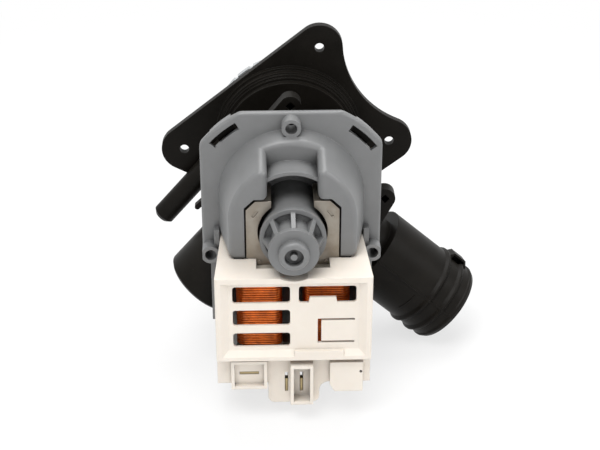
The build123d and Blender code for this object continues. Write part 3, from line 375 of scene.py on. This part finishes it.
@dataclass(frozen=True)
class Moulding:
    """Moulded plastic or rubber: grain, slow drift of colour, flow marks, painted edge highlights and
    painted crevice shade.
    """

    name: str
    colour: Colour
    # Paler colour: the random drift leans towards it, and the painted edge highlight is drawn in it.
    pale_tone_and_highlight: Colour
    roughness: float = 0.45
    roughness_dip: float = 0.06
    roughness_swing: float = 0.14
    specular: float = 0.4
    grain: Grain = Grain.SATIN
    grain_size: float = 0.5 * MM
    grain_depth: float = 0.012 * MM
    satin_layers: float = 4.0
    polished_layers: float = 1.0
    pit_span: Span = (0.1, 0.75)
    sink_size: float = 9 * MM
    sink_depth: float = 0.05 * MM
    drift_size: float = 13 * MM
    drift_span: Span = (0.3, 0.7)
    drift: float = 0.5
    flow_share: float = 0.4
    flow_fineness: float = 3.0
    flow_stretch: Stretch = (1.0, 0.22, 1.0)
    edge_radius: float = 0.35 * MM
    # Strength of the painted highlight along rounded edges.
    painted_edge_highlight: float = 0.35
    edge_polish: float = 0.05
    speck_size: float = 1.6 * MM
    speck_span: Span = (0.03, 0.1)
    speck_share: float = 0.06
    speck_colour: Colour = (0.3, 0.29, 0.27)
    cluster_width: float = 3.0
    cluster_span: Span = (0.62, 0.66)
    translucency: float = 0.0
    scatter_length: float = 1.2 * MM
    scatter_tint: Colour = (1.0, 0.8, 0.6)
    # Painted shade: the colour is darkened where little of the surroundings is seen, in crevices, bores
    # and gaps.
    crevice_reach: float = 7 * MM
    crevice_span: Span = (0.35, 0.85)
    painted_crevice_shade: float = 0.5

    def relief(self, shade: Shade, place: Wire) -> Wire:
        """Fine surface relief of the mould's finish.

        Args:
            shade: the material's tree.
            place: position on the piece.

        Returns:
            A height from 0 to 1.
        """
        if self.grain is Grain.SPARKED:
            return shade.cells(place, self.grain_size).fade(*self.pit_span)
        layers = self.polished_layers if self.grain is Grain.POLISHED else self.satin_layers
        return shade.noise(place, self.grain_size, layers, roughness=0.6)

    def sockets(self, shade: Shade) -> dict[str, Value]:
        """Values and wires of the surface shader.

        Args:
            shade: the material's tree.

        Returns:
            The shader's inputs by name.
        """
        place = shade.place()
        rounded = shade.rounded(self.edge_radius)
        edge = shade.edges(rounded)
        patches = shade.noise(place, self.drift_size, detail=3.0)
        flow_size = self.drift_size / self.flow_fineness
        flow = shade.noise(place * self.flow_stretch, flow_size, detail=4.0, roughness=0.65)
        drift = (patches * (1 - self.flow_share) + flow * self.flow_share).fade(*self.drift_span)
        body = shade.blend(drift * self.drift, self.colour, self.pale_tone_and_highlight)
        specks = 1 - shade.cells(place, self.speck_size).fade(*self.speck_span)
        cluster_size = self.speck_size * self.cluster_width
        clusters = shade.noise(place, cluster_size, detail=1.0).fade(*self.cluster_span)
        dusted = shade.blend(specks * clusters * self.speck_share, body, self.speck_colour)
        # Painted highlight: rounded edges are lightened towards the paler colour, in patches.
        edge_highlighted = shade.blend(edge * self.painted_edge_highlight * patches, dusted, self.pale_tone_and_highlight)
        # Painted shade in crevices, bores and gaps, from how little of the surroundings a point sees.
        shade_in_crevices_mask = (1 - shade.openness(self.crevice_reach)).fade(*self.crevice_span)
        sink = shade.bump(shade.noise(place, self.sink_size, detail=1.0), self.sink_depth, rounded)
        smoothest = self.roughness - self.roughness_dip
        return {
            "Base Color": edge_highlighted * (1 - shade_in_crevices_mask * self.painted_crevice_shade),
            "Roughness": smoothest + flow * self.roughness_swing - edge * self.edge_polish,
            "Normal": shade.bump(self.relief(shade, place), self.grain_depth, sink),
            "Specular IOR Level": self.specular,
            "Subsurface Weight": self.translucency,
            "Subsurface Radius": self.scatter_tint,
            "Subsurface Scale": self.scatter_length,
        }


@dataclass(frozen=True)
class Metal:
    """Worked metal: brushing, patches of tarnish, scratches and, unless sheet is 0, a stack's gaps."""

    name: str
    colour: Colour
    tarnish: Colour
    roughness: float = 0.35
    roughness_dip: float = 0.1
    metallic: float = 1.0
    tarnish_size: float = 7 * MM
    tarnish_span: Span = (0.35, 0.68)
    tarnish_share: float = 0.5
    tarnish_dulling: float = 0.12
    tarnish_roughness: float = 0.1
    brushing: Brushing = Brushing.EVEN
    brush_size: float = 0.35 * MM
    brush_depth: float = 0.006 * MM
    brush_roughness: float = 0.12
    scratch_width: float = 2.0
    scratch_stretch: Stretch = (3.0, 1.0, 0.25)
    scratch_span: Span = (0.66, 0.7)
    scratch_light: float = 0.2
    sheet: float = 0.0
    sheet_depth: float = 0.06 * MM
    sheet_gap_span: Span = (0.55, 1.0)
    sheet_face_span: Span = (0.2, 0.7)
    sheet_gap_light: float = 0.3
    edge_radius: float = 0.2 * MM
    # Strength of the painted highlight along rounded edges.
    painted_edge_highlight: float = 0.5
    coat: float = 0.0
    coat_roughness: float = 0.12

    def sheets(self, shade: Shade, place: Wire) -> Wire:
        """Lines between the sheets of a stack, seen only on faces that cut them.

        Args:
            shade: the material's tree.
            place: position on the piece.

        Returns:
            A height that falls from 1 to 0 in each gap.
        """
        depth = shade.node("ShaderNodeSeparateXYZ", inputs={0: place}, output="Y")
        phase = depth * (FULL_TURN / self.sheet)
        wave = shade.node("ShaderNodeMath", {"operation": "COSINE"}, {0: phase})
        normal = shade.node("ShaderNodeNewGeometry", output="True Normal")
        along = shade.node("ShaderNodeSeparateXYZ", inputs={0: normal}, output="Y")
        facing = (along * along).fade(*self.sheet_face_span)
        return 1 - wave.fade(*self.sheet_gap_span) * (1 - facing)

    def sockets(self, shade: Shade) -> dict[str, Value]:
        """Values and wires of the surface shader.

        Args:
            shade: the material's tree.

        Returns:
            The shader's inputs by name.
        """
        place = shade.place()
        rounded = shade.rounded(self.edge_radius)
        edge = shade.edges(rounded)
        lines = shade.noise(place * self.brushing.value, self.brush_size, detail=3.0, roughness=0.7)
        cloud = shade.noise(place, self.tarnish_size, detail=5.0, roughness=0.62)
        patches = cloud.fade(*self.tarnish_span)
        streaks = shade.noise(place * self.scratch_stretch, self.brush_size * self.scratch_width)
        # Real scratches, and a painted highlight along the rounded edges, both in the clean metal's
        # colour.
        scratches_and_edge_highlight = edge * self.painted_edge_highlight + streaks.fade(*self.scratch_span) * self.scratch_light
        tarnished = shade.blend(patches * self.tarnish_share, self.colour, self.tarnish)
        shown = shade.blend(scratches_and_edge_highlight, tarnished, self.colour)
        if self.sheet:
            gaps = self.sheets(shade, place)
            gap_colour = tuple(part * self.sheet_gap_light for part in self.tarnish)
            shown = shade.blend(1 - gaps, shown, gap_colour)
            rounded = shade.bump(gaps, self.sheet_depth, rounded)
        smoothest = self.roughness - self.roughness_dip
        return {
            "Base Color": shown,
            "Metallic": self.metallic - patches * self.tarnish_dulling,
            "Roughness": smoothest + lines * self.brush_roughness + patches * self.tarnish_roughness,
            "Normal": shade.bump(lines, self.brush_depth, rounded),
            "Coat Weight": self.coat,
            "Coat Roughness": self.coat_roughness,
        }


Finish = Union[Moulding, Metal]

BLACK_PLASTIC = Moulding(
    "black_plastic",
    colour=(0.0058, 0.0049, 0.0038),
    pale_tone_and_highlight=(0.0130, 0.0112, 0.0090),
    roughness=0.4,
    specular=0.09,
    grain=Grain.SPARKED,
    grain_size=0.7 * MM,
    grain_depth=0.005 * MM,
    painted_edge_highlight=0.6,
    speck_share=0.12,
)
GREY_PLASTIC = Moulding(
    "grey_plastic",
    colour=(0.170, 0.172, 0.173),
    pale_tone_and_highlight=(0.210, 0.213, 0.215),
    roughness=0.36,
    specular=0.5,
    painted_edge_highlight=0.5,
    speck_share=0.15,
    speck_colour=(0.12, 0.12, 0.12),
    translucency=0.06,
    # Strong painted shade in its bores and crevices.
    painted_crevice_shade=0.8,
)
WHITE_PLASTIC = Moulding(
    "white_plastic",
    colour=(0.78, 0.715, 0.635),
    pale_tone_and_highlight=(0.84, 0.78, 0.705),
    roughness=0.42,
    specular=0.4,
    grain=Grain.POLISHED,
    painted_edge_highlight=0.4,
    speck_share=0.35,
    speck_colour=(0.42, 0.36, 0.28),
    translucency=0.12,
)
CAP_PLASTIC = Moulding(
    "cap_plastic",
    colour=(0.40, 0.415, 0.425),
    pale_tone_and_highlight=(0.48, 0.495, 0.505),
    roughness=0.42,
    specular=0.4,
    translucency=0.05,
)
IMPELLER_PLASTIC = Moulding(
    "impeller_plastic", colour=(0.055, 0.075, 0.10), pale_tone_and_highlight=(0.085, 0.11, 0.14), roughness=0.38
)
BOBBIN_PLASTIC = Moulding(
    "bobbin_plastic",
    colour=(0.58, 0.53, 0.45),
    pale_tone_and_highlight=(0.68, 0.63, 0.55),
    roughness=0.4,
    translucency=0.1,
)
BUSH_PLASTIC = Moulding(
    "bush_plastic", colour=(0.05, 0.045, 0.04), pale_tone_and_highlight=(0.09, 0.085, 0.08), roughness=0.3
)
SEAL_RUBBER = Moulding(
    "seal_rubber",
    colour=(0.012, 0.012, 0.012),
    pale_tone_and_highlight=(0.03, 0.03, 0.031),
    roughness=0.62,
    specular=0.3,
    grain_size=0.25 * MM,
    speck_share=0.3,
)
FERRITE = Moulding(
    "magnet_ferrite",
    colour=(0.028, 0.027, 0.027),
    pale_tone_and_highlight=(0.06, 0.058, 0.056),
    roughness=0.55,
    grain=Grain.SPARKED,
    grain_size=0.3 * MM,
    grain_depth=0.03 * MM,
)
CORE_STEEL = Metal(
    "core_steel",
    colour=(0.335, 0.306, 0.264),
    tarnish=(0.188, 0.146, 0.106),
    roughness=0.42,
    brushing=Brushing.ALONG_Z,
    sheet=0.5 * MM,
)
SHAFT_STEEL = Metal(
    "shaft_steel",
    colour=(0.56, 0.55, 0.53),
    tarnish=(0.40, 0.38, 0.35),
    roughness=0.22,
    tarnish_share=0.3,
)
ENAMELLED_COPPER = Metal(
    "copper_wire",
    colour=(0.92, 0.235, 0.034),
    tarnish=(0.50, 0.105, 0.014),
    roughness=0.34,
    metallic=0.92,
    tarnish_size=3 * MM,
    tarnish_share=0.7,
    coat=0.6,
)
TERMINAL_BRASS = Metal(
    "terminal_brass",
    colour=(0.50, 0.41, 0.235),
    tarnish=(0.27, 0.195, 0.095),
    roughness=0.36,
    brushing=Brushing.ALONG_Z,
    brush_size=0.25 * MM,
    tarnish_share=0.45,
)


def mount_named(name: str) -> dict[str, Any]:
    """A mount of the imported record."""
    return next(mount for mount in frame["record"]["mounts"] if mount["name"] == name)


def ring_points(centre: Vector, across: Vector, up: Vector, radius: float, sides: int) -> list[Vector]:
    """Points round a circle.

    Args:
        centre: its middle.
        across: unit vector in its plane.
        up: the other unit vector in its plane.
        radius: its radius.
        sides: number of points.

    Returns:
        The points in order.
    """
    angles = [FULL_TURN * side / sides for side in range(sides)]
    spokes = [across * (radius * math.cos(turn)) + up * (radius * math.sin(turn)) for turn in angles]
    return [centre + spoke for spoke in spokes]


def sweep(name: str, path: Sequence[Vector], radius: float, sides: int, up: Vector) -> bpy.types.Object:
    """Round wire along a path, closed at both ends.

    Args:
        name: the piece's name.
        path: the middle of the wire.
        radius: the wire's radius.
        sides: corners of its section.
        up: direction that is nowhere along the path.

    Returns:
        The new piece.
    """
    points: list[Vector] = []
    for place, centre in enumerate(path):
        before = path[max(place - 1, 0)]
        after = path[min(place + 1, len(path) - 1)]
        across = (after - before).cross(up).normalized()
        lift = across.cross(after - before).normalized()
        points += ring_points(centre, across, lift, radius, sides)
    faces = [
        (
            row * sides + side,
            row * sides + (side + 1) % sides,
            (row + 1) * sides + (side + 1) % sides,
            (row + 1) * sides + side,
        )
        for row in range(len(path) - 1)
        for side in range(sides)
    ]
    faces.append(tuple(reversed(range(sides))))
    faces.append(tuple(range(len(points) - sides, len(points))))
    return new_piece(name, points, faces)


def new_piece(name: str, points: Sequence[Vector], faces: Sequence[Sequence[int]]) -> bpy.types.Object:
    """Smooth shaded mesh object.

    Args:
        name: its name.
        points: its vertices.
        faces: corners of each face.

    Returns:
        The object, linked to the scene.
    """
    mesh = bpy.data.meshes.new(name)
    mesh.from_pydata([tuple(point) for point in points], [], [tuple(face) for face in faces])
    mesh.update()
    mesh.polygons.foreach_set("use_smooth", [True] * len(mesh.polygons))
    return new_object(name, mesh)


@dataclass
class SubAssembly:
    """What the sub-assemblies share: they dress nodes and add pieces."""

    palette: Palette

    def dress(self, finish: Finish, *nodes: str) -> None:
        """Give nodes of the frame a finish.

        Args:
            finish: what they are made of.
            nodes: their names.
        """
        for node in nodes:
            materials = frame["nodes"][node].data.materials
            materials.clear()
            materials.append(self.palette.get(finish))
            log.info("%s dressed in %s", node, finish.name)

    def add(self, piece: bpy.types.Object, finish: Finish, body: Body, *stands_for: str) -> None:
        """Finish a new piece and let it ride.

        Args:
            piece: the new object.
            finish: what it is made of.
            body: what it rides on.
            stands_for: nodes that it replaces.
        """
        piece.data.materials.append(self.palette.get(finish))
        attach(piece, body.value)
        if stands_for:
            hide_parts(*stands_for)
        log.info("%s made of %s", piece.name, finish.name)


@dataclass
class PumpHousing(SubAssembly):
    """Black housing with its ports, and the fine marks of its mould."""

    seam_angle: float = math.radians(9)
    seam_radius: float = 0.3 * MM
    seam_start: float = -17 * MM
    seam_end: float = 20.5 * MM
    crease_place: float = 3.1 * MM
    crease_from: float = math.radians(-30)
    crease_to: float = math.radians(3)
    crease_radius: float = 0.22 * MM
    outside: float = 30 * MM
    steps: int = 60
    sides: int = 10

    def skin(self) -> BVHTree:
        """The housing's surface.

        Returns:
            A tree of its faces, ready to be probed.
        """
        node = frame["nodes"]["pump_housing"]
        points = [node.matrix_world @ corner.co for corner in node.data.vertices]
        return BVHTree.FromPolygons(points, [tuple(face.vertices) for face in node.data.polygons])

    def port_point(self, skin: BVHTree, along: float, turn: float) -> Vector:
        """A point on the inlet port's skin, found from outside.

        Args:
            skin: the housing's surface.
            along: distance from the port's mount, towards the mouth.
            turn: angle from the front of the port, towards its upper side.

        Returns:
            The point.
        """
        mount = mount_named("inlet_port")
        axis = Vector(mount["axis"])
        out = FRONT * math.cos(turn) + FRONT.cross(axis) * math.sin(turn)
        start = Vector(mount["pos_m"]) + axis * along + out * self.outside
        return skin.ray_cast(start, -out)[0]

    def evenly(self, start: float, end: float) -> list[float]:
        """Evenly spaced values from a start to an end."""
        return [start + (end - start) * (step / self.steps) for step in range(self.steps + 1)]

    def build(self) -> None:
        """Dress the housing and add the seam and the crease of its inlet."""
        self.dress(BLACK_PLASTIC, "pump_housing")
        skin = self.skin()
        places = self.evenly(self.seam_start, self.seam_end)
        seam = [self.port_point(skin, along, self.seam_angle) for along in places]
        turns = self.evenly(self.crease_from, self.crease_to)
        crease = [self.port_point(skin, self.crease_place, turn) for turn in turns]
        axis = Vector(mount_named("inlet_port")["axis"])
        marks = (
            sweep("inlet_seam", seam, self.seam_radius, self.sides, FRONT),
            sweep("inlet_crease", crease, self.crease_radius, self.sides, axis),
        )
        for mark in marks:
            self.add(mark, BLACK_PLASTIC, Body.ROOT)


@dataclass
class Coil(SubAssembly):
    """One coil: its outer layer is wound with fine wire in place of the coarse one."""

    side: str
    seed: int
    wire: float = 0.72 * MM
    pitch: float = 0.86 * MM
    corner_radius: float = 2.4 * MM
    corner_steps: int = 6
    sides: int = 10
    slack: float = 0.1 * MM

    def path(self) -> list[Vector]:
        """Middle of the wire, from the top of the coil to its bottom.

        Returns:
            The points of one unbroken winding.
        """
        low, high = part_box(f"{self.side}_winding_turns")
        middle = (low + high) / 2
        half_x = (high.x - low.x - self.wire) / 2
        half_y = (high.y - low.y - self.wire) / 2
        height = high.z - low.z - self.wire
        turns = int(height / self.pitch)
        chance = random.Random(self.seed)
        points = []
        for turn in range(turns):
            inset = chance.uniform(0, self.slack)
            for corner in range(CORNERS):
                heading = (corner + 0.5) * QUARTER_TURN
                centre_x = math.copysign(half_x - self.corner_radius, math.cos(heading))
                centre_y = math.copysign(half_y - self.corner_radius, math.sin(heading))
                for step in range(self.corner_steps + 1):
                    share = step / self.corner_steps
                    angle = heading + (share - 0.5) * QUARTER_TURN
                    reach = self.corner_radius - inset
                    # A quarter's fall is halved between its corner and the straight run after it.
                    fallen = (turn + (corner + share / 2) / CORNERS) * height / turns
                    x = middle.x + centre_x + reach * math.cos(angle)
                    y = middle.y + centre_y + reach * math.sin(angle)
                    points.append(Vector((x, y, high.z - self.wire / 2 - fallen)))
        return points

    def build(self) -> None:
        """Dress the spool and its inner layers, and wind the outer layer."""
        self.dress(BOBBIN_PLASTIC, f"{self.side}_bobbin")
        self.dress(ENAMELLED_COPPER, f"{self.side}_winding")
        layer = sweep(f"{self.side}_winding_layer", self.path(), self.wire / 2, self.sides, UP)
        self.add(layer, ENAMELLED_COPPER, Body.ROOT, f"{self.side}_winding_turns")


class Motor(SubAssembly):
    """Grey housing, stator, rotor, white cover and terminals."""

    def build(self) -> None:
        """Dress the motor's nodes and wind its coils."""
        self.dress(GREY_PLASTIC, "motor_housing", "bearing_carrier")
        self.dress(CORE_STEEL, "stator_core")
        self.dress(WHITE_PLASTIC, "coil_cover", "terminal_block", "rotor_core")
        self.dress(TERMINAL_BRASS, "line_terminals", "earth_terminal")
        self.dress(SHAFT_STEEL, "rotor_shaft", "thrust_washers")
        self.dress(FERRITE, "rotor_magnet")
        self.dress(BUSH_PLASTIC, "front_bush", "rear_bush")
        self.dress(SEAL_RUBBER, "rear_bush_grommet", "carrier_seal", "flange_seal")
        for seed, side in enumerate(("left", "right")):
            Coil(self.palette, side, seed).build()


class WetSide(SubAssembly):
    """Impeller with its drive, and the filter with its cap."""

    def build(self) -> None:
        """Dress the impeller, the filter and the cap."""
        self.dress(IMPELLER_PLASTIC, "impeller", "impeller_hub_cap", "drive_dog")
        self.dress(SEAL_RUBBER, "drive_damper", "cap_seal")
        self.dress(CAP_PLASTIC, "filter_cap", "filter_strainer")


@dataclass(frozen=True)
class Lamp:
    """A soft area light that looks at the object's middle."""

    name: str
    place: Place
    size: float
    power: float

    def build(self, target: Vector) -> None:
        """Add the light.

        Args:
            target: the point that it looks at.
        """
        data = bpy.data.lights.new(self.name, "AREA")
        data.shape = "DISK"
        data.size = self.size
        data.energy = self.power
        lamp = new_object(self.name, data)
        lamp.location = self.place
        aim(lamp, target - lamp.location)


@dataclass
class Studio:
    """Pale floor, soft lights, white surroundings and the camera."""

    camera_place: Place = (-0.0101, -0.3934, 0.2218)
    camera_heading: Place = (0.0269, 0.8809, -0.4726)
    lens: float = 85.8
    sensor: float = 36.0
    floor_half: float = 5.0
    floor_gap: float = 0.4 * MM
    floor_colour: Colour = (0.86, 0.86, 0.86)
    paper_grain: float = 4 * MM
    paper_contrast: float = 0.1
    paper_shade: float = 0.96
    shadow_share: float = 0.3
    shadow_reach: float = 0.22
    fill: float = 0.40
    lamps: tuple[Lamp, ...] = (
        Lamp("key_light", (-0.3, -0.4, 1.12), 0.8, 10.8),
        Lamp("right_light", (0.9, -0.35, 0.6), 0.6, 3.0),
        Lamp("back_light", (0.1, 0.5, 1.05), 0.8, 7.0),
        Lamp("front_light", (0.3, -1.05, 0.2), 0.7, 1.5),
    )

    def seen_directly(self, shade: Shade) -> Wire:
        """Mask of the rays by which the surroundings show: to the camera, in gloss and through glass.

        Args:
            shade: the tree that uses it.

        Returns:
            A wire of 0 or 1.
        """
        kinds = ("Is Camera Ray", "Is Glossy Ray", "Is Transmission Ray")
        camera, gloss, glass = (shade.node("ShaderNodeLightPath", output=kind) for kind in kinds)
        return (camera + gloss + glass).fade(0.0, 1.0)

    def build_world(self) -> None:
        """White surroundings that light the object with less than their full strength."""
        world = bpy.data.worlds.new("surroundings")
        world.use_nodes = True
        bpy.context.scene.world = world
        shade = Shade(world.node_tree)
        strength = self.fill + self.seen_directly(shade) * (1 - self.fill)
        sky = shade.node("ShaderNodeBackground", inputs={"Color": rgba(WHITE), "Strength": strength})
        shade.end("ShaderNodeOutputWorld", {"Surface": sky})

    def build_floor(self, height: float) -> None:
        """Pale floor that keeps a soft shadow.

        Args:
            height: the floor's level.
        """
        half = self.floor_half
        corners = [(-half, -half), (half, -half), (half, half), (-half, half)]
        floor = new_piece("floor", [Vector((x, y, height)) for x, y in corners], [(0, 1, 2, 3)])
        material, shade = new_material("floor_paper")
        place = shade.place()
        darker = tuple(part * self.paper_shade for part in self.floor_colour)
        grain = shade.noise(place, self.paper_grain) * self.paper_contrast
        paper = shade.blend(grain, self.floor_colour, darker)
        matt = shade.node("ShaderNodeBsdfDiffuse", inputs={"Color": paper})
        white = shade.node("ShaderNodeEmission", inputs={"Color": rgba(WHITE), "Strength": 1.0})
        away = shade.node("ShaderNodeVectorMath", {"operation": "LENGTH"}, {0: place}, output=1)
        near = 1 - away.fade(self.shadow_reach, 2 * self.shadow_reach)
        share = self.seen_directly(shade) * (1 - near * self.shadow_share)
        mixed = shade.node("ShaderNodeMixShader", inputs={0: share, 1: matt, 2: white})
        shade.end("ShaderNodeOutputMaterial", {"Surface": mixed})
        floor.data.materials.append(material)

    def build_camera(self) -> None:
        """Camera at the photograph's place and angle."""
        data = bpy.data.cameras.new("camera")
        data.lens = self.lens
        data.sensor_width = self.sensor
        camera = new_object("camera", data)
        camera.location = self.camera_place
        aim(camera, Vector(self.camera_heading))
        bpy.context.scene.camera = camera

    def build(self) -> None:
        """Set up everything round the object."""
        low, high = cad_box
        self.build_camera()
        self.build_world()
        self.build_floor(low.z - self.floor_gap)
        for lamp in self.lamps:
            lamp.build((low + high) / 2)
        bpy.context.scene.view_settings.view_transform = "Standard"
        log.info("studio set up")


def main() -> None:
    """Build the studio and every sub-assembly."""
    logging.basicConfig(level=logging.INFO, format="%(name)s: %(message)s")
    palette = Palette()
    Studio().build()
    for part in (PumpHousing(palette), Motor(palette), WetSide(palette)):
        part.build()


if __name__ == "__main__":
    main()
